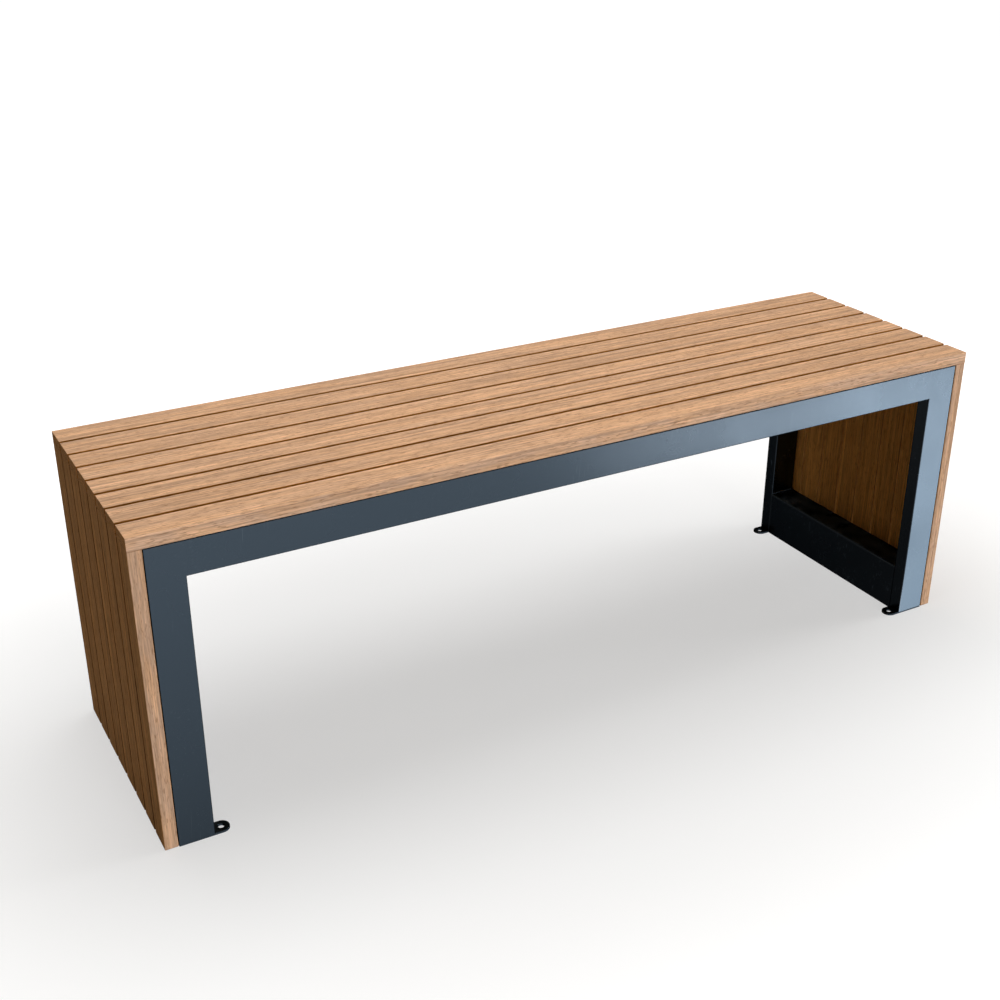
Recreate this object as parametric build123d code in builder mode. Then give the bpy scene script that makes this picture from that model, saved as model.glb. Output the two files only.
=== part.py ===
from build123d import *

import os

# A backless park bench: timber slats over a welded steel frame that bolts to the ground.
# +X runs along the bench to its right end, +Y to the rear and +Z up.
# The origin is on the ground under the middle of the seat. Sizes are in millimetres.

# Whole bench
BENCH_LENGTH = 1320  # over the outer faces of the end slats
SEAT_HEIGHT = 450  # ground to the top of the seat

# Timber slats, along the seat and upright at both ends
SLAT_COUNT = 8  # in the seat, and in each end
SLAT_WIDTH = 41
EDGE_SLAT_WIDTH = 42.5  # the front and rear slat of each row
SLAT_THICKNESS = 18
SLAT_GAP = 5
SLAT_ARRIS = 1.2  # rounding along a slat
SLAT_END_ARRIS = 0.6  # rounding round its cut ends
GROUND_CLEARANCE = 1  # under the end slats

# Box section of the legs and rails
SECTION_FACE = 48  # the side shown to the front and rear
SECTION_DEPTH = 23
SECTION_WALL = 2
SECTION_CORNER = 1.5  # outside corner radius
SHADOW_GAP = 0.8  # between the legs and the end slats

# Folded channels, open below, that tie the front frame to the rear one and carry the slats
SHEET = 3
BEND_RADIUS = 1  # inside the fold
FOOT_BAR_HEIGHT = 80
HEAD_BAR_HEIGHT = 40
BEARER_WIDTH = 40
BEARER_HEIGHT = 25
BEARER_COUNT = 2  # spread evenly between the head bars

# Foot plates, each with a rounded lug for a ground anchor
PLATE_THICKNESS = 3
PLATE_ARRIS = 0.4
LUG_REACH = 11.5  # from the leg to the centre of the anchor hole
ANCHOR_HOLE = 8.5  # diameter

# Pan-head screws, driven from inside the channels
SCREW_DIAMETER = 4.8
SCREW_LENGTH = 16  # under the head
SCREW_TIP = 3.5  # length of the point
HEAD_DIAMETER = 9.5
HEAD_HEIGHT = 3.2
HEAD_ROUNDING = 1.8
SOCKET_WIDTH = 4  # across the flats
SOCKET_DEPTH = 1.8
SOCKET_SIDES = 6
STEEL_CLEARANCE = 0.7  # on the diameter of the holes in the channels
PILOT_CLEARANCE = 0.1  # on the diameter of the holes in the slats
PILOT_SPARE = 1  # depth left past the screw's point
FOOT_SCREW_MARGIN = 22  # from the foot bar's lower edge, and from under its top
HEAD_SCREW_DROP = 18  # from under the head bar's top

# Places that follow from these sizes
BENCH_WIDTH = 2 * EDGE_SLAT_WIDTH + (SLAT_COUNT - 2) * SLAT_WIDTH + (SLAT_COUNT - 1) * SLAT_GAP
FRAME_TOP = SEAT_HEIGHT - SLAT_THICKNESS
END_FACE = BENCH_LENGTH / 2 - SLAT_THICKNESS  # inner face of the end slats
LEG_OUTER = END_FACE - SHADOW_GAP
LEG_INNER = LEG_OUTER - SECTION_FACE
LEG_X = LEG_OUTER - SECTION_FACE / 2
LEG_Y = BENCH_WIDTH / 2 - SECTION_DEPTH / 2
BAR_REACH = BENCH_WIDTH / 2 - SECTION_DEPTH  # from the middle to the front and rear frames
BAR_WIDTH = END_FACE - LEG_INNER
BAR_X = END_FACE - BAR_WIDTH / 2
LUG_X = LEG_INNER - LUG_REACH
CLEARANCE_HOLE = SCREW_DIAMETER + STEEL_CLEARANCE
PILOT_HOLE = SCREW_DIAMETER + PILOT_CLEARANCE
PILOT_DEPTH = SCREW_LENGTH - SHEET + PILOT_SPARE
FOOT_SCREW_HEIGHTS = (FOOT_SCREW_MARGIN, FOOT_BAR_HEIGHT - SHEET - FOOT_SCREW_MARGIN)
HEAD_SCREW_HEIGHT = FRAME_TOP - SHEET - HEAD_SCREW_DROP
SIDES = (("left", -1), ("right", 1))
DEPTHS = (("front", -1), ("rear", 1))


def slat_rows():
    """Centre and width of each slat in a row, from the front to the rear."""
    rows = []
    front = -BENCH_WIDTH / 2
    for number in range(SLAT_COUNT):
        at_edge = number in (0, SLAT_COUNT - 1)
        width = EDGE_SLAT_WIDTH if at_edge else SLAT_WIDTH
        rows.append((front + width / 2, width))
        front += width + SLAT_GAP
    return rows


def screw_row(centre, width):
    """Where a slat is screwed: the middle of its stretch between the front and rear frames."""
    front = max(centre - width / 2, -BAR_REACH)
    rear = min(centre + width / 2, BAR_REACH)
    return (front + rear) / 2


def seat_fixing(bar_x, row):
    """Screw seat under the top of a channel, facing down."""
    return Plane(origin=(bar_x, row, FRAME_TOP - SHEET), z_dir=(0, 0, -1))


def end_fixing(side, row, height):
    """Screw seat on the inside of an end channel's outer wall, facing the middle of the bench."""
    return Plane(origin=(side * (END_FACE - SHEET), row, height), z_dir=(-side, 0, 0))


def pilots(fixings):
    """Where the screws enter the timber, behind the sheet that they pass through."""
    return [fixing.offset(-SHEET) for fixing in fixings]


def mitre(side):
    """Corner cut between a leg, on the side that it faces, and a rail."""
    return Plane(origin=(side * LEG_OUTER, 0, FRAME_TOP), z_dir=(side, 0, -1))


def channel(bar_x, top, width, height, fixings):
    """Folded channel, open below, from the front frame to the rear one."""
    with BuildPart() as bar:
        with BuildSketch(Plane.XZ) as section:
            with Locations((bar_x, top)):
                Rectangle(width, height, align=(Align.CENTER, Align.MAX))
            fillet(section.vertices().group_by(Axis.Y)[-1], BEND_RADIUS + SHEET)
            with Locations((bar_x, top - height)):
                RectangleRounded(
                    width - 2 * SHEET, 2 * (height - SHEET), BEND_RADIUS, mode=Mode.SUBTRACT
                )
        extrude(amount=BAR_REACH, both=True)
        with Locations(*fixings):
            Hole(CLEARANCE_HOLE / 2, SHEET)
    return bar


def screw_group(fixings):
    """Screws of one size, with their heads on the given seats."""
    with BuildPart() as screws:
        with Locations(*fixings):
            add(screw.part)
    return screws


SLAT_ROWS = slat_rows()
SCREW_ROWS = [screw_row(centre, width) for centre, width in SLAT_ROWS]
BEARER_STEP = 2 * BAR_X / (BEARER_COUNT + 1)
BEARER_XS = [number * BEARER_STEP - BAR_X for number in range(1, BEARER_COUNT + 1)]

os.makedirs("parts", exist_ok=True)

# Seat slats
for number, (centre, width) in enumerate(SLAT_ROWS, start=1):
    fixings = [seat_fixing(bar_x, SCREW_ROWS[number - 1]) for bar_x in (-BAR_X, *BEARER_XS, BAR_X)]
    with BuildPart() as seat_slat:
        with BuildSketch(Plane.YZ.offset(-BENCH_LENGTH / 2)):
            with Locations((centre, FRAME_TOP + SLAT_THICKNESS / 2)):
                RectangleRounded(width, SLAT_THICKNESS, SLAT_ARRIS)
        extrude(amount=BENCH_LENGTH)
        fillet(seat_slat.faces().filter_by(Axis.X).edges(), SLAT_END_ARRIS)
        with Locations(*pilots(fixings)):
            Hole(PILOT_HOLE / 2, PILOT_DEPTH)
    seat_slat.part.label = f"seat_slat_{number}"
    export_step(seat_slat.part, f"parts/seat_slat_{number}.step")

# End slats
for side_name, side in SIDES:
    for number, (centre, width) in enumerate(SLAT_ROWS, start=1):
        heights = (*FOOT_SCREW_HEIGHTS, HEAD_SCREW_HEIGHT)
        fixings = [end_fixing(side, SCREW_ROWS[number - 1], height) for height in heights]
        with BuildPart() as end_slat:
            with BuildSketch(Plane.XY.offset(GROUND_CLEARANCE)):
                with Locations((side * (END_FACE + SLAT_THICKNESS / 2), centre)):
                    RectangleRounded(SLAT_THICKNESS, width, SLAT_ARRIS)
            extrude(amount=FRAME_TOP - GROUND_CLEARANCE)
            fillet(end_slat.faces().filter_by(Axis.Z).edges(), SLAT_END_ARRIS)
            with Locations(*pilots(fixings)):
                Hole(PILOT_HOLE / 2, PILOT_DEPTH)
        end_slat.part.label = f"{side_name}_end_slat_{number}"
        export_step(end_slat.part, f"parts/{side_name}_end_slat_{number}.step")

# Rails, mitred to the legs
for depth_name, depth in DEPTHS:
    with BuildPart() as rail:
        with BuildSketch(Plane.YZ.offset(-LEG_OUTER)):
            with Locations((depth * LEG_Y, FRAME_TOP - SECTION_FACE / 2)):
                RectangleRounded(SECTION_DEPTH, SECTION_FACE, SECTION_CORNER)
                Rectangle(
                    SECTION_DEPTH - 2 * SECTION_WALL, SECTION_FACE - 2 * SECTION_WALL, mode=Mode.SUBTRACT
                )
        extrude(amount=2 * LEG_OUTER)
        for side_name, side in SIDES:
            split(bisect_by=mitre(side), keep=Keep.BOTTOM)
    rail.part.label = f"{depth_name}_rail"
    export_step(rail.part, f"parts/{depth_name}_rail.step")

# Legs and the foot plates that close them
for depth_name, depth in DEPTHS:
    for side_name, side in SIDES:
        with BuildPart() as leg:
            with BuildSketch(Plane.XY.offset(PLATE_THICKNESS)):
                with Locations((side * LEG_X, depth * LEG_Y)):
                    RectangleRounded(SECTION_FACE, SECTION_DEPTH, SECTION_CORNER)
                    Rectangle(
                        SECTION_FACE - 2 * SECTION_WALL, SECTION_DEPTH - 2 * SECTION_WALL, mode=Mode.SUBTRACT
                    )
            extrude(amount=FRAME_TOP - PLATE_THICKNESS)
            split(bisect_by=mitre(side), keep=Keep.TOP)
        leg.part.label = f"{depth_name}_{side_name}_leg"
        export_step(leg.part, f"parts/{depth_name}_{side_name}_leg.step")

        with BuildPart() as foot_plate:
            with BuildSketch():
                with Locations((side * LEG_X, depth * LEG_Y)):
                    RectangleRounded(SECTION_FACE, SECTION_DEPTH, SECTION_CORNER)
                with Locations((side * (LUG_X + LEG_X) / 2, depth * LEG_Y)):
                    Rectangle(LEG_X - LUG_X, SECTION_DEPTH)
                with Locations((side * LUG_X, depth * LEG_Y)):
                    Circle(SECTION_DEPTH / 2)
                    Circle(ANCHOR_HOLE / 2, mode=Mode.SUBTRACT)
            extrude(amount=PLATE_THICKNESS)
            fillet(foot_plate.faces().sort_by(Axis.Z)[-1].edges(), PLATE_ARRIS)
        foot_plate.part.label = f"{depth_name}_{side_name}_foot_plate"
        export_step(foot_plate.part, f"parts/{depth_name}_{side_name}_foot_plate.step")

# One pan-head screw, its head on the ground plane and its point down
with BuildPart() as screw:
    with BuildSketch(Plane.XZ):
        with BuildLine():
            Polyline(
                (0, -SCREW_LENGTH),
                (SCREW_DIAMETER / 2, SCREW_TIP - SCREW_LENGTH),
                (SCREW_DIAMETER / 2, 0),
                (HEAD_DIAMETER / 2, 0),
                (HEAD_DIAMETER / 2, HEAD_HEIGHT),
                (0, HEAD_HEIGHT),
                close=True,
            )
        make_face()
    revolve(axis=Axis.Z)
    fillet(screw.edges().filter_by(GeomType.CIRCLE).sort_by(Axis.Z)[-1], HEAD_ROUNDING)
    with BuildSketch(Plane.XY.offset(HEAD_HEIGHT)):
        RegularPolygon(SOCKET_WIDTH / 2, SOCKET_SIDES, major_radius=False)
    extrude(amount=-SOCKET_DEPTH, mode=Mode.SUBTRACT)

# Foot bars and head bars with their screws
for side_name, side in SIDES:
    foot_fixings = [end_fixing(side, row, height) for row in SCREW_ROWS for height in FOOT_SCREW_HEIGHTS]
    foot_bar = channel(side * BAR_X, FOOT_BAR_HEIGHT, BAR_WIDTH, FOOT_BAR_HEIGHT, foot_fixings)
    foot_bar.part.label = f"{side_name}_foot_bar"
    export_step(foot_bar.part, f"parts/{side_name}_foot_bar.step")

    foot_screws = screw_group(foot_fixings)
    foot_screws.part.label = f"{side_name}_foot_bar_screws"
    export_step(foot_screws.part, f"parts/{side_name}_foot_bar_screws.step")

    head_fixings = [seat_fixing(side * BAR_X, row) for row in SCREW_ROWS]
    head_fixings += [end_fixing(side, row, HEAD_SCREW_HEIGHT) for row in SCREW_ROWS]
    head_bar = channel(side * BAR_X, FRAME_TOP, BAR_WIDTH, HEAD_BAR_HEIGHT, head_fixings)
    head_bar.part.label = f"{side_name}_head_bar"
    export_step(head_bar.part, f"parts/{side_name}_head_bar.step")

    head_screws = screw_group(head_fixings)
    head_screws.part.label = f"{side_name}_head_bar_screws"
    export_step(head_screws.part, f"parts/{side_name}_head_bar_screws.step")

# Seat bearers with their screws
for number, bearer_x in enumerate(BEARER_XS, start=1):
    fixings = [seat_fixing(bearer_x, row) for row in SCREW_ROWS]
    bearer = channel(bearer_x, FRAME_TOP, BEARER_WIDTH, BEARER_HEIGHT, fixings)
    bearer.part.label = f"seat_bearer_{number}"
    export_step(bearer.part, f"parts/seat_bearer_{number}.step")

bearer_screws = screw_group([seat_fixing(bearer_x, row) for bearer_x in BEARER_XS for row in SCREW_ROWS])
bearer_screws.part.label = "seat_bearer_screws"
export_step(bearer_screws.part, "parts/seat_bearer_screws.step")
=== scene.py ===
import math

import bmesh
import bpy
from mathutils import Matrix, Vector


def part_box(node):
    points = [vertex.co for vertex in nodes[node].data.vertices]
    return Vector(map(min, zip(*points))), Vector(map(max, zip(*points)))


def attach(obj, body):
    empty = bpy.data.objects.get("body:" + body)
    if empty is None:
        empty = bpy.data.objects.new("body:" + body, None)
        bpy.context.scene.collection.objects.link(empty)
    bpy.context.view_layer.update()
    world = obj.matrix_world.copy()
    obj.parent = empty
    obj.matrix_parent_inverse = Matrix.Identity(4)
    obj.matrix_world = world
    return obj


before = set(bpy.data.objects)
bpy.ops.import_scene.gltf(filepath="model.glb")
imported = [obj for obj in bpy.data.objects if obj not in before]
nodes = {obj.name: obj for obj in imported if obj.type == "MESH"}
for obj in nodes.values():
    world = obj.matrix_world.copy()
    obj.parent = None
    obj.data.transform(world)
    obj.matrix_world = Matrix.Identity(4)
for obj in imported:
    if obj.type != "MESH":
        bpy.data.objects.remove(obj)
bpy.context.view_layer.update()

scene = bpy.context.scene

# Axes of the bench
LENGTHWISE = 0
CROSSWISE = 1
UPWARD = 2

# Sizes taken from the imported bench
SEAT_LOW, SEAT_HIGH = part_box("seat_slat_3")
LEFT_LOW, LEFT_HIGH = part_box("left_end_slat_3")
RIGHT_LOW, RIGHT_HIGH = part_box("right_end_slat_3")
ROW_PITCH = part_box("seat_slat_4")[0].y - SEAT_LOW.y
FRONT_FACE = -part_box("seat_slat_1")[0].y

# Camera, solved from the edges in the photograph
CAMERA_AZIMUTH = math.radians(-28.884)
CAMERA_ELEVATION = math.radians(25.535)
CAMERA_PLACE = Vector((-0.9668, -1.6278, 1.1748))
CAMERA_LENS = 50.0
CAMERA_SENSOR = 36.0
NEAREST_SEEN = 0.01
FARTHEST_SEEN = 200.0

# Timber colours
PEACH = (0.62, 0.37, 0.216, 1.0)
TAN = (0.555, 0.344, 0.216, 1.0)
PORE = (0.24, 0.125, 0.06, 1.0)
FLECK = (0.74, 0.47, 0.28, 1.0)
GREYED = (0.53, 0.35, 0.245, 1.0)
# Painted shade: a deeper brown tint on the faces of the ends and the slat sides in the gaps
PAINTED_SHADE_BROWN = (0.85, 0.62, 0.24, 1.0)
UNTINTED = (1.0, 1.0, 1.0, 1.0)

# Growth rings of the timber
RINGS_PER_METRE = 210.0
RING_WANDER = 0.03
PITH_ASIDE = 0.07
PITH_BELOW = 0.035
PITH_BELOW_RANGE = 0.05

# How far apart the slats lie in the timber that they are cut from
SLATS_APART = (31.0, 3.7, 5.3)
CHANCE_SEED = 7.0

# How much each effect shows in the timber
FLECK_SHARE = 0.5
PORE_SHARE = 0.55
LEAST_FADED = 0.15
FADED_RANGE = 0.7
CUT_END_SHADE = 0.08
# Share of the painted shade tint on the outward faces of the ends; the inward faces take all of it
OUTWARD_PAINTED_SHADE = 0.62
TIMBER_ROUGHNESS = 0.65
FIBRE_POLISH = -0.1
PORE_ROUGHNESS = 0.12
LINE_RELIEF = 0.3
FIBRE_RELIEF = 0.5
PORE_RELIEF = -0.6

# The band next to the front and rear face, where a slat's side is out in the weather
WEATHERED_FROM = FRONT_FACE - 0.006
WEATHERED_TO = FRONT_FACE - 0.002

# Steel and screw colours
COAT = (0.046, 0.063, 0.082, 1.0)
# Painted shade: near black on the steel faces that look along the bench
COAT_PAINTED_SHADE = (0.011, 0.0125, 0.014, 1.0)
COAT_GLANCING = (0.03, 0.03, 0.03, 1.0)
COAT_SCUFF = (0.11, 0.14, 0.165, 1.0)
DUST = (0.3, 0.28, 0.25, 1.0)
STAINLESS = (0.6, 0.59, 0.57, 1.0)
STAINLESS_DULL = (0.4, 0.39, 0.375, 1.0)

# How much each effect shows on the steel, and the turn and seed of each set of scratches
SCRATCH_SETS = ((0.5, 2.0), (-0.9, 5.0), (1.3, 9.0))
SCRATCH_RELIEF = -0.6
SCUFF_SHARE = 0.35
DUST_SHARE = 0.12
DUST_ROUGHNESS = 0.2
DUST_DULLING = -0.2
COAT_ROUGHNESS = 0.25
COAT_CLOUDING = 0.05
SCREW_ROUGHNESS = 0.25
SCREW_CLOUDING = 0.15

# Weld beads
WELD_SIZE = 0.0026
WELD_STEP = 0.0019
WELD_OVERLAP = 1.1
WELD_UNEVENNESS = 0.1
WELD_RHYTHM = 2.3
FOOT_WELD_INSET = 0.004
UPRIGHT_WELD_INSET = 0.003

# Floor, and the soft shadow under the bench, partly painted into the floor's glow
FLOOR_RADIUS = 40.0
FLOOR_RIM_HEIGHT = 16.0
FLOOR_BOUNCE = (0.34, 0.34, 0.34, 1.0)
FLOOR_WHITE = (1.0, 1.0, 1.0, 1.0)
SHADOW_SHAPE = (1.0, 1.6, 1.0)
SHADOW_FROM = 0.45
SHADOW_TO = 1.9
SHADOW_GLOW = 0.54

# Studio light
SKY = (0.095, 0.073, 0.038, 1.0)
CARD_COLOUR = (1.0, 0.905, 0.845)
CARD_HEIGHT = 0.002
LEG_CARD_TURN = math.radians(42.5)
RAIL_CARD_Y = -0.96
RAIL_CARD_WIDTH = 0.3


# Node helpers

def feed(tree, made, inputs):
    """Sets the inputs of a node. Each one is a value, or the socket that feeds it."""
    for key, value in inputs.items():
        if isinstance(value, bpy.types.NodeSocket):
            tree.links.new(value, made.inputs[key])
        else:
            made.inputs[key].default_value = value


def place(tree, kind, inputs, **settings):
    """Adds a shader node with its inputs."""
    made = tree.nodes.new("ShaderNode" + kind)
    for name, value in settings.items():
        setattr(made, name, value)
    feed(tree, made, inputs)
    return made


def maths(tree, operation, *values):
    return place(tree, "Math", dict(enumerate(values)), operation=operation).outputs[0]


def vectors(tree, operation, *values):
    return place(tree, "VectorMath", dict(enumerate(values)), operation=operation).outputs[0]


def distance(tree, vector):
    """How far a vector reaches."""
    return place(tree, "VectorMath", {0: vector}, operation="LENGTH").outputs["Value"]


def scaled(tree, vector, factor):
    """A vector or colour times a number."""
    return place(tree, "VectorMath", {0: vector, 3: factor}, operation="SCALE").outputs[0]


def joined(tree, x, y, z):
    """A vector made of three numbers."""
    return place(tree, "CombineXYZ", {0: x, 1: y, 2: z}).outputs[0]


def parted(tree, vector):
    """The three numbers of a vector."""
    return place(tree, "SeparateXYZ", {0: vector}).outputs


def mixed(tree, factor, first, second):
    """A colour between two others."""
    return place(tree, "Mix", {0: factor, 6: first, 7: second}, data_type="RGBA").outputs[2]


def spread(tree, value, low, high, to_low=0.0, to_high=1.0):
    """Takes a value from one range to another, smoothly and held at both ends."""
    inputs = {0: value, 1: low, 2: high, 3: to_low, 4: to_high}
    return place(tree, "MapRange", inputs, interpolation_type="SMOOTHSTEP").outputs[0]


def noise(tree, point, along, across, detail, roughness=0.5):
    """Noise with its own fineness along the first axis and across it."""
    inputs = {
        "Vector": vectors(tree, "MULTIPLY", point, (along, across, across)),
        "Scale": 1.0,
        "Detail": detail,
        "Roughness": roughness,
    }
    return place(tree, "TexNoise", inputs).outputs[0]


def streaks(tree, point, along, across, detail, low, high):
    """A mask of streaks along the first axis, cut from noise between two levels."""
    return spread(tree, noise(tree, point, along, across, detail), low, high)


def faces_along(tree, facing, axis, low=0.5, high=0.9):
    """1 on the faces that look either way along an axis, 0 on the others."""
    return spread(tree, maths(tree, "ABSOLUTE", facing[axis]), low, high)


def shaded(tree, shade, mask, start, change):
    """Multiplies a shade by a level that changes with a mask."""
    return maths(tree, "MULTIPLY", shade, maths(tree, "MULTIPLY_ADD", mask, change, start))


def new_group(name, inputs, outputs):
    """A shader node group: its tree, what comes in and what goes out."""
    tree = bpy.data.node_groups.new(name, "ShaderNodeTree")
    for label, kind in inputs:
        tree.interface.new_socket(label, in_out="INPUT", socket_type="NodeSocket" + kind)
    for label, kind in outputs:
        tree.interface.new_socket(label, in_out="OUTPUT", socket_type="NodeSocket" + kind)
    source = tree.nodes.new("NodeGroupInput")
    target = tree.nodes.new("NodeGroupOutput")
    return tree, source.outputs, target.inputs


def use_group(tree, group, inputs):
    """Puts a node group into a material and gives what comes out of it."""
    made = tree.nodes.new("ShaderNodeGroup")
    made.node_tree = group
    feed(tree, made, inputs)
    return made.outputs


# Shared effect: which slat a point is on, and how that slat differs from the others

def slat_rows():
    group, given, result = new_group(
        "slat rows",
        [("Across", "Float"), ("Panel", "Float")],
        [("Middle", "Float"), ("Tone", "Float"), ("Chance", "Vector")],
    )
    row = maths(group, "FLOOR", maths(group, "DIVIDE", given["Across"], ROW_PITCH))
    centre = maths(group, "MULTIPLY", maths(group, "ADD", row, 0.5), ROW_PITCH)
    where = joined(group, row, given["Panel"], CHANCE_SEED)
    chance = place(group, "TexWhiteNoise", {"Vector": where}, noise_dimensions="3D").outputs
    group.links.new(maths(group, "SUBTRACT", given["Across"], centre), result["Middle"])
    group.links.new(chance["Value"], result["Tone"])
    group.links.new(chance["Color"], result["Chance"])
    return group


# Shared effect: straight-grained timber, solid through the slat

def growth_rings(group, given, point):
    """Rings around a pith that lies below each slat."""
    chance = parted(group, given["Chance"])
    wander = noise(group, point, along=2.2, across=9.0, detail=2.0)
    drift = maths(group, "MULTIPLY_ADD", wander, RING_WANDER, -RING_WANDER / 2)
    pith = maths(group, "MULTIPLY_ADD", chance[1], PITH_ASIDE, -PITH_ASIDE / 2)
    side = maths(group, "SUBTRACT", maths(group, "ADD", given["Middle"], drift), pith)
    pith_depth = maths(group, "MULTIPLY_ADD", chance[2], PITH_BELOW_RANGE, PITH_BELOW)
    below = maths(group, "ADD", given["Depth"], pith_depth)
    radius = distance(group, joined(group, side, below, 0.0))
    season = maths(group, "FRACT", maths(group, "MULTIPLY", radius, RINGS_PER_METRE))
    darkening = spread(group, season, low=0.2, high=0.85)
    winter = spread(group, season, low=1.0, high=0.9)
    return maths(group, "MULTIPLY", darkening, winter)


def timber_grain():
    group, given, result = new_group(
        "timber grain",
        [
            ("Along", "Float"),
            ("Middle", "Float"),
            ("Depth", "Float"),
            ("Tone", "Float"),
            ("Chance", "Vector"),
            ("Painted Gap Shade And End Grain", "Float"),
            ("Faded", "Float"),
            ("Painted Shade", "Float"),
        ],
        [("Colour", "Color"), ("Roughness", "Float"), ("Height", "Float")],
    )
    inside = joined(group, given["Along"], given["Middle"], given["Depth"])
    away = vectors(group, "MULTIPLY", given["Chance"], SLATS_APART)
    point = vectors(group, "ADD", inside, away)

    # Fibres, from broad streaks to fine ones, then dark pores and pale flecks
    ring = growth_rings(group, given, point)
    broad = streaks(group, point, along=5.0, across=110.0, detail=3.0, low=0.3, high=0.7)
    middle = streaks(group, point, along=9.0, across=330.0, detail=3.0, low=0.28, high=0.72)
    fine = streaks(group, point, along=34.0, across=800.0, detail=3.0, low=0.28, high=0.72)
    lines = streaks(group, point, along=2.2, across=600.0, detail=2.0, low=0.4, high=0.6)
    pores = streaks(group, point, along=85.0, across=720.0, detail=1.0, low=0.6, high=0.68)
    flecks = streaks(group, point, along=75.0, across=560.0, detail=1.0, low=0.36, high=0.26)
    smudge = streaks(group, point, along=6.0, across=70.0, detail=4.0, low=0.34, high=0.66)
    worn = streaks(group, point, along=16.0, across=90.0, detail=3.0, low=0.35, high=0.65)

    # Light and dark: painted shade in the gaps, darker end grain, then the grain itself
    shade = maths(group, "SUBTRACT", 1.0, given["Painted Gap Shade And End Grain"])
    shade = shaded(group, shade, broad, start=0.93, change=0.14)
    shade = shaded(group, shade, middle, start=0.89, change=0.22)
    shade = shaded(group, shade, fine, start=0.82, change=0.36)
    shade = shaded(group, shade, lines, start=0.9, change=0.2)
    shade = shaded(group, shade, ring, start=1.04, change=-0.12)
    shade = shaded(group, shade, given["Tone"], start=0.95, change=0.1)

    # Colour
    fade_level = maths(group, "MULTIPLY_ADD", worn, FADED_RANGE, LEAST_FADED)
    faded = maths(group, "MULTIPLY", given["Faded"], fade_level)
    colour = mixed(group, smudge, TAN, PEACH)
    colour = mixed(group, faded, colour, GREYED)
    colour = mixed(group, maths(group, "MULTIPLY", flecks, FLECK_SHARE), colour, FLECK)
    colour = scaled(group, colour, shade)
    colour = mixed(group, maths(group, "MULTIPLY", pores, PORE_SHARE), colour, PORE)
    # Painted shade: a deeper brown on the faces of the ends and in the gaps
    tint = mixed(group, given["Painted Shade"], UNTINTED, PAINTED_SHADE_BROWN)
    group.links.new(vectors(group, "MULTIPLY", colour, tint), result["Colour"])

    # Gloss and relief
    rough = maths(group, "MULTIPLY_ADD", middle, FIBRE_POLISH, TIMBER_ROUGHNESS)
    rough = maths(group, "MULTIPLY_ADD", pores, PORE_ROUGHNESS, rough)
    group.links.new(rough, result["Roughness"])
    height = maths(group, "MULTIPLY", fine, FIBRE_RELIEF)
    height = maths(group, "MULTIPLY_ADD", lines, LINE_RELIEF, height)
    height = maths(group, "MULTIPLY_ADD", pores, PORE_RELIEF, height)
    group.links.new(height, result["Height"])
    return group


# Shared effect: hairline scratches, coat texture and settled dust

def coat_wear():
    group, given, result = new_group(
        "coat wear",
        [("Place", "Vector"), ("Facing", "Vector")],
        [("Scratches", "Float"), ("Clouding", "Float"), ("Dust", "Float"), ("Height", "Float")],
    )
    scratches = 0.0
    for turn, seed in SCRATCH_SETS:
        turns = (turn, turn, turn)
        mapping = place(group, "Mapping", {0: given["Place"], 1: (seed, 0.0, seed), 2: turns})
        point = mapping.outputs[0]
        hairlines = streaks(group, point, along=14.0, across=1100.0, detail=0.0, low=0.76, high=0.82)
        patches = streaks(group, point, along=9.0, across=16.0, detail=1.0, low=0.52, high=0.62)
        hairlines = maths(group, "MULTIPLY", hairlines, patches)
        scratches = maths(group, "MAXIMUM", scratches, hairlines)
    cloud = noise(group, given["Place"], along=6.0, across=6.0, detail=4.0, roughness=0.6)
    speckle = noise(group, given["Place"], along=420.0, across=420.0, detail=2.0)
    drifts = streaks(group, given["Place"], along=38.0, across=38.0, detail=4.0, low=0.35, high=0.7)
    on_top = spread(group, parted(group, given["Facing"])[UPWARD], low=0.6, high=0.95)
    height = maths(group, "MULTIPLY_ADD", scratches, SCRATCH_RELIEF, speckle)
    group.links.new(scratches, result["Scratches"])
    group.links.new(spread(group, cloud, low=0.3, high=0.7), result["Clouding"])
    group.links.new(maths(group, "MULTIPLY", on_top, drifts), result["Dust"])
    group.links.new(height, result["Height"])
    return group


SLAT_ROWS = slat_rows()
TIMBER_GRAIN = timber_grain()
COAT_WEAR = coat_wear()


# Materials

def new_material(name):
    """A material with only its output: the material, its tree and the socket for its surface."""
    made = bpy.data.materials.new(name)
    made.use_nodes = True
    made.node_tree.nodes.clear()
    output = made.node_tree.nodes.new("ShaderNodeOutputMaterial")
    return made, made.node_tree, output.inputs["Surface"]


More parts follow.
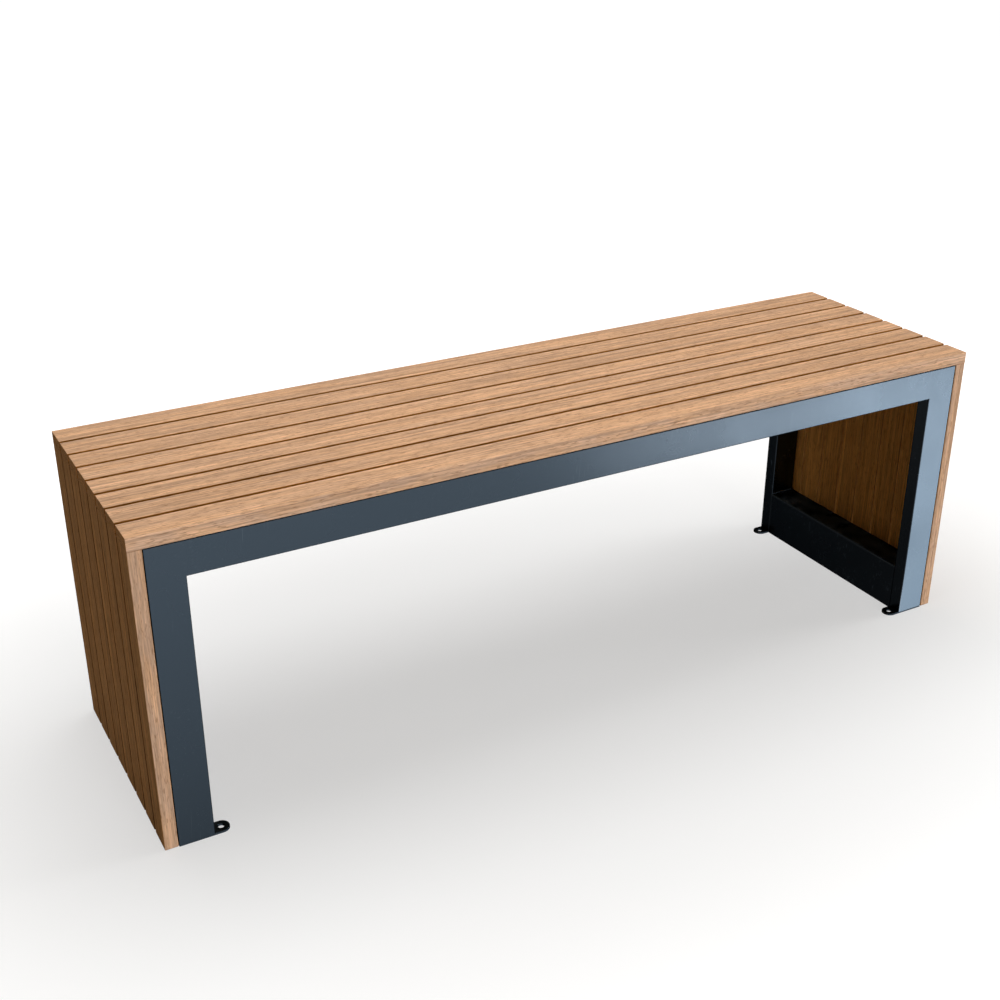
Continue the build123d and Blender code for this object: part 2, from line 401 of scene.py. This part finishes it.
def timber(name, panel, grain_axis, depth_axis, depth_centre, painted_gap_shade):
    """Timber whose grain runs along one axis, with painted shade in the gaps between slats and on
    the faces of the ends.
    """
    made, tree, surface = new_material(name)
    where = place(tree, "TexCoord", {}).outputs
    spot = parted(tree, where["Object"])
    facing = parted(tree, where["Normal"])
    rows = use_group(tree, SLAT_ROWS, {"Across": spot[CROSSWISE], "Panel": panel})

    # Cut ends, slat sides out in the weather, slat sides in a gap, and the faces of the ends; the
    # gaps and the end faces get painted shade
    cut_end = faces_along(tree, facing, grain_axis, low=0.6)
    slat_side = faces_along(tree, facing, CROSSWISE)
    upright = faces_along(tree, facing, LENGTHWISE)
    aside = maths(tree, "ABSOLUTE", spot[CROSSWISE])
    outside = spread(tree, aside, WEATHERED_FROM, WEATHERED_TO)
    in_gap = maths(tree, "MULTIPLY", slat_side, maths(tree, "SUBTRACT", 1.0, outside))
    # Painted shade on the upright faces of the ends: full on the inward faces, less on the outward
    # ones
    outward = maths(tree, "MULTIPLY", facing[LENGTHWISE], spot[LENGTHWISE])
    inward = maths(tree, "LESS_THAN", outward, 0.0)
    end_painted_shade = maths(tree, "MULTIPLY_ADD", inward, 1.0 - OUTWARD_PAINTED_SHADE, OUTWARD_PAINTED_SHADE)
    end_painted_shade = maths(tree, "MULTIPLY", upright, end_painted_shade)

    cut_shade = maths(tree, "MULTIPLY", cut_end, CUT_END_SHADE)
    grain = use_group(tree, TIMBER_GRAIN, {
        "Along": spot[grain_axis],
        "Middle": rows["Middle"],
        "Depth": maths(tree, "SUBTRACT", spot[depth_axis], depth_centre),
        "Tone": rows["Tone"],
        "Chance": rows["Chance"],
        # Painted shade in the gaps between slats, plus darker end grain on the cut ends
        "Painted Gap Shade And End Grain": maths(tree, "MULTIPLY_ADD", in_gap, painted_gap_shade, cut_shade),
        "Faded": maths(tree, "MULTIPLY", slat_side, outside),
        # Painted shade tint on the end faces and in the gaps
        "Painted Shade": maths(tree, "MAXIMUM", end_painted_shade, in_gap),
    })
    bump = place(tree, "Bump", {"Strength": 0.5, "Distance": 0.0004, "Height": grain["Height"]})
    shader = place(tree, "BsdfPrincipled", {
        "Base Color": grain["Colour"],
        "Roughness": grain["Roughness"],
        "Specular IOR Level": 0.0,
        "Normal": bump.outputs[0],
    })
    tree.links.new(shader.outputs[0], surface)
    return made


def coated_steel():
    """Dark coated steel, with painted shade that makes the faces looking along the bench near black.
    """
    made, tree, surface = new_material("frame steel")
    where = place(tree, "TexCoord", {}).outputs
    wear = use_group(tree, COAT_WEAR, {"Place": where["Object"], "Facing": where["Normal"]})
    # Painted shade: the faces that look along the bench take the near black colour
    painted_shade_faces = faces_along(tree, parted(tree, where["Normal"]), LENGTHWISE)
    colour = mixed(tree, painted_shade_faces, COAT, COAT_PAINTED_SHADE)
    colour = mixed(tree, maths(tree, "MULTIPLY", wear["Scratches"], SCUFF_SHARE), colour, COAT_SCUFF)
    colour = mixed(tree, maths(tree, "MULTIPLY", wear["Dust"], DUST_SHARE), colour, DUST)
    rough = maths(tree, "MULTIPLY_ADD", wear["Clouding"], COAT_CLOUDING, COAT_ROUGHNESS)
    rough = maths(tree, "MULTIPLY_ADD", wear["Dust"], DUST_ROUGHNESS, rough)
    bump = place(tree, "Bump", {"Strength": 0.2, "Distance": 0.00008, "Height": wear["Height"]})
    shader = place(tree, "BsdfPrincipled", {
        "Base Color": colour,
        "Roughness": rough,
        "Metallic": maths(tree, "MULTIPLY_ADD", wear["Dust"], DUST_DULLING, 1.0),
        "Specular Tint": COAT_GLANCING,
        "Normal": bump.outputs[0],
    })
    tree.links.new(shader.outputs[0], surface)
    return made


def screw_steel():
    """Stainless steel, a little dull."""
    made, tree, surface = new_material("screw steel")
    where = place(tree, "TexCoord", {}).outputs
    wear = use_group(tree, COAT_WEAR, {"Place": where["Object"], "Facing": where["Normal"]})
    bump = place(tree, "Bump", {"Strength": 0.25, "Distance": 0.0001, "Height": wear["Height"]})
    shader = place(tree, "BsdfPrincipled", {
        "Base Color": mixed(tree, wear["Clouding"], STAINLESS, STAINLESS_DULL),
        "Roughness": maths(tree, "MULTIPLY_ADD", wear["Clouding"], SCREW_CLOUDING, SCREW_ROUGHNESS),
        "Metallic": 1.0,
        "Normal": bump.outputs[0],
    })
    tree.links.new(shader.outputs[0], surface)
    return made


SEAT_TIMBER = timber(
    "seat timber",
    panel=1.0,
    grain_axis=LENGTHWISE,
    depth_axis=UPWARD,
    depth_centre=(SEAT_LOW.z + SEAT_HIGH.z) / 2,
    painted_gap_shade=0.0,
)
LEFT_TIMBER = timber(
    "left end timber",
    panel=2.0,
    grain_axis=UPWARD,
    depth_axis=LENGTHWISE,
    depth_centre=(LEFT_LOW.x + LEFT_HIGH.x) / 2,
    painted_gap_shade=0.42,
)
RIGHT_TIMBER = timber(
    "right end timber",
    panel=3.0,
    grain_axis=UPWARD,
    depth_axis=LENGTHWISE,
    depth_centre=(RIGHT_LOW.x + RIGHT_HIGH.x) / 2,
    painted_gap_shade=0.33,
)
FRAME_STEEL = coated_steel()
SCREW_STEEL = screw_steel()

for name, node in nodes.items():
    if name.startswith("seat_slat"):
        finish = SEAT_TIMBER
    elif name.startswith("left_end_slat"):
        finish = LEFT_TIMBER
    elif name.startswith("right_end_slat"):
        finish = RIGHT_TIMBER
    elif name.endswith("screws"):
        finish = SCREW_STEEL
    else:
        finish = FRAME_STEEL
    for holder in node.material_slots:
        holder.material = finish


# Weld beads in the inside corners of the frame

def weld_run(bead, start, end):
    """A row of overlapping scales along a straight inside corner."""
    line = end - start
    count = max(2, round(line.length / WELD_STEP))
    turn = line.to_track_quat("Z", "Y").to_matrix().to_4x4()
    for step in range(count + 1):
        size = WELD_SIZE * (1.0 + WELD_UNEVENNESS * math.sin(WELD_RHYTHM * step))
        shape = Matrix.Diagonal((size, size, WELD_STEP * WELD_OVERLAP, 1.0))
        spot = Matrix.Translation(start + line * (step / count))
        bmesh.ops.create_uvsphere(
            bead,
            u_segments=12,
            v_segments=8,
            radius=1.0,
            matrix=spot @ turn @ shape,
        )


def new_welds(name, runs):
    bead = bmesh.new()
    for start, end in runs:
        weld_run(bead, Vector(start), Vector(end))
    for face in bead.faces:
        face.smooth = True
    mesh = bpy.data.meshes.new(name)
    bead.to_mesh(mesh)
    bead.free()
    mesh.materials.append(FRAME_STEEL)
    piece = bpy.data.objects.new(name, mesh)
    scene.collection.objects.link(piece)
    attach(piece, "root")


def upright_corners(low, high, sides):
    """The upright corners at both ends of a bar, on the sides that are named by their x."""
    foot = low.z + UPRIGHT_WELD_INSET
    head = high.z - UPRIGHT_WELD_INSET
    return [((x, y, foot), (x, y, head)) for x in sides for y in (low.y, high.y)]


def top_corners(low, high):
    """The corners along the top of a bar, at both of its ends."""
    left = low.x + FOOT_WELD_INSET
    right = high.x - FOOT_WELD_INSET
    return [((left, y, high.z), (right, y, high.z)) for y in (low.y, high.y)]


for side in ("left", "right"):
    low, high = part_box(side + "_foot_bar")
    new_welds(side + "_foot_bar_welds", top_corners(low, high))
    low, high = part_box(side + "_head_bar")
    inner = high.x if side == "left" else low.x
    new_welds(side + "_head_bar_welds", upright_corners(low, high, [inner]))

bearer_corners = []
for bearer in ("seat_bearer_1", "seat_bearer_2"):
    low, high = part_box(bearer)
    bearer_corners += upright_corners(low, high, [low.x, high.x])
new_welds("seat_bearer_welds", bearer_corners)


# Camera

back = Vector((
    math.sin(CAMERA_AZIMUTH) * math.cos(CAMERA_ELEVATION),
    -math.cos(CAMERA_AZIMUTH) * math.cos(CAMERA_ELEVATION),
    math.sin(CAMERA_ELEVATION),
))
lens = bpy.data.cameras.new("camera")
lens.lens = CAMERA_LENS
lens.sensor_width = CAMERA_SENSOR
lens.clip_start = NEAREST_SEEN
lens.clip_end = FARTHEST_SEEN
camera = bpy.data.objects.new("camera", lens)
camera.location = CAMERA_PLACE
camera.rotation_euler = back.to_track_quat("Z", "Y").to_euler()
scene.collection.objects.link(camera)
scene.camera = camera


# Floor with an upturned rim far away, white to the eye and pale to the light that bounces off it

def white_rays(tree):
    """1 for rays that show the background itself, 0 for rays that carry its light."""
    path = place(tree, "LightPath", {}).outputs
    seen = maths(tree, "MAXIMUM", path["Is Camera Ray"], path["Is Glossy Ray"])
    return maths(tree, "MAXIMUM", seen, path["Is Transmission Ray"])


def floor_paper():
    """Paper that glows white, with a painted shadow: it glows less near the bench, where its shadow
    falls.
    """
    made, tree, surface = new_material("floor")
    bounce = place(tree, "BsdfDiffuse", {"Color": FLOOR_BOUNCE})
    spot = place(tree, "TexCoord", {}).outputs["Object"]
    reach = distance(tree, vectors(tree, "MULTIPLY", spot, SHADOW_SHAPE))
    level = spread(tree, reach, SHADOW_FROM, SHADOW_TO, to_low=SHADOW_GLOW)
    white = maths(tree, "MULTIPLY", white_rays(tree), level)
    glow = place(tree, "Emission", {"Color": FLOOR_WHITE, "Strength": white})
    both = place(tree, "AddShader", {0: bounce.outputs[0], 1: glow.outputs[0]})
    tree.links.new(both.outputs[0], surface)
    return made


sheet = bmesh.new()
bmesh.ops.create_circle(sheet, cap_ends=True, segments=64, radius=FLOOR_RADIUS)
edges = [edge for edge in sheet.edges if edge.is_boundary]
raised = bmesh.ops.extrude_edge_only(sheet, edges=edges)["geom"]
raised = [item for item in raised if isinstance(item, bmesh.types.BMVert)]
bmesh.ops.translate(sheet, verts=raised, vec=(0.0, 0.0, FLOOR_RIM_HEIGHT))
mesh = bpy.data.meshes.new("floor")
sheet.to_mesh(mesh)
sheet.free()
mesh.materials.append(floor_paper())
floor = bpy.data.objects.new("floor", mesh)
scene.collection.objects.link(floor)


# Studio light

def softbox(name, place_at, aim, width, height, power, turn=0.0, mirrored=True, lighting=True):
    """A lamp with a plain rectangular face. The steel may mirror it, and it may light the bench."""
    lamp = bpy.data.lights.new(name, "AREA")
    lamp.shape = "RECTANGLE"
    lamp.size = width
    lamp.size_y = height
    lamp.energy = power
    holder = bpy.data.objects.new(name, lamp)
    holder.location = place_at
    facing = (Vector(place_at) - Vector(aim)).to_track_quat("Z", "Y")
    holder.rotation_euler = (facing @ Matrix.Rotation(turn, 3, "Z").to_quaternion()).to_euler()
    holder.visible_camera = False
    holder.visible_glossy = mirrored
    holder.visible_diffuse = lighting
    scene.collection.objects.link(holder)
    return lamp


softbox(
    "top softbox",
    place_at=(-0.1, 0.35, 2.7),
    aim=(0.0, 0.0, 0.4),
    width=1.8,
    height=1.6,
    power=56.0,
    mirrored=False,
)
softbox(
    "front softbox",
    place_at=(0.1, -7.0, 0.6),
    aim=(0.0, 0.0, 0.3),
    width=2.0,
    height=1.2,
    power=316.0,
    mirrored=False,
)
softbox(
    "left softbox",
    place_at=(-4.5, 0.5, 1.0),
    aim=(-0.6, 0.0, 0.3),
    width=1.5,
    height=1.5,
    power=11.5,
    mirrored=False,
)
softbox(
    "right softbox",
    place_at=(4.5, -0.65, 1.0),
    aim=(0.6, 0.0, 0.3),
    width=1.5,
    height=1.5,
    power=130.0,
)


# Reflection cards on the floor at the front right, seen only in the steel

def card(name, x, y, length, width, power, turn=0.0):
    """A lamp that lies on the floor and faces up."""
    spot = (x, y, CARD_HEIGHT)
    overhead = (x, y, 1.0)
    lamp = softbox(name, spot, overhead, length, width, power, turn, lighting=False)
    lamp.color = CARD_COLOUR


card("near leg card", 0.742, -0.284, length=0.355, width=0.15, power=1.13, turn=LEG_CARD_TURN)
card("far leg card", 1.143, -0.651, length=0.73, width=0.24, power=4.3, turn=LEG_CARD_TURN)
card("left rail card", 0.55, RAIL_CARD_Y, length=0.22, width=RAIL_CARD_WIDTH, power=0.56)
card("middle rail card", 0.93, RAIL_CARD_Y, length=0.54, width=RAIL_CARD_WIDTH, power=3.75)
card("right rail card", 1.5, RAIL_CARD_Y, length=0.6, width=RAIL_CARD_WIDTH, power=6.4)

world = bpy.data.worlds.new("studio")
scene.world = world
world.use_nodes = True
tree = world.node_tree
tree.nodes.clear()
sky = place(tree, "Background", {"Color": SKY, "Strength": 1.0})
output = tree.nodes.new("ShaderNodeOutputWorld")
tree.links.new(sky.outputs[0], output.inputs["Surface"])

scene.view_settings.view_transform = "Standard"
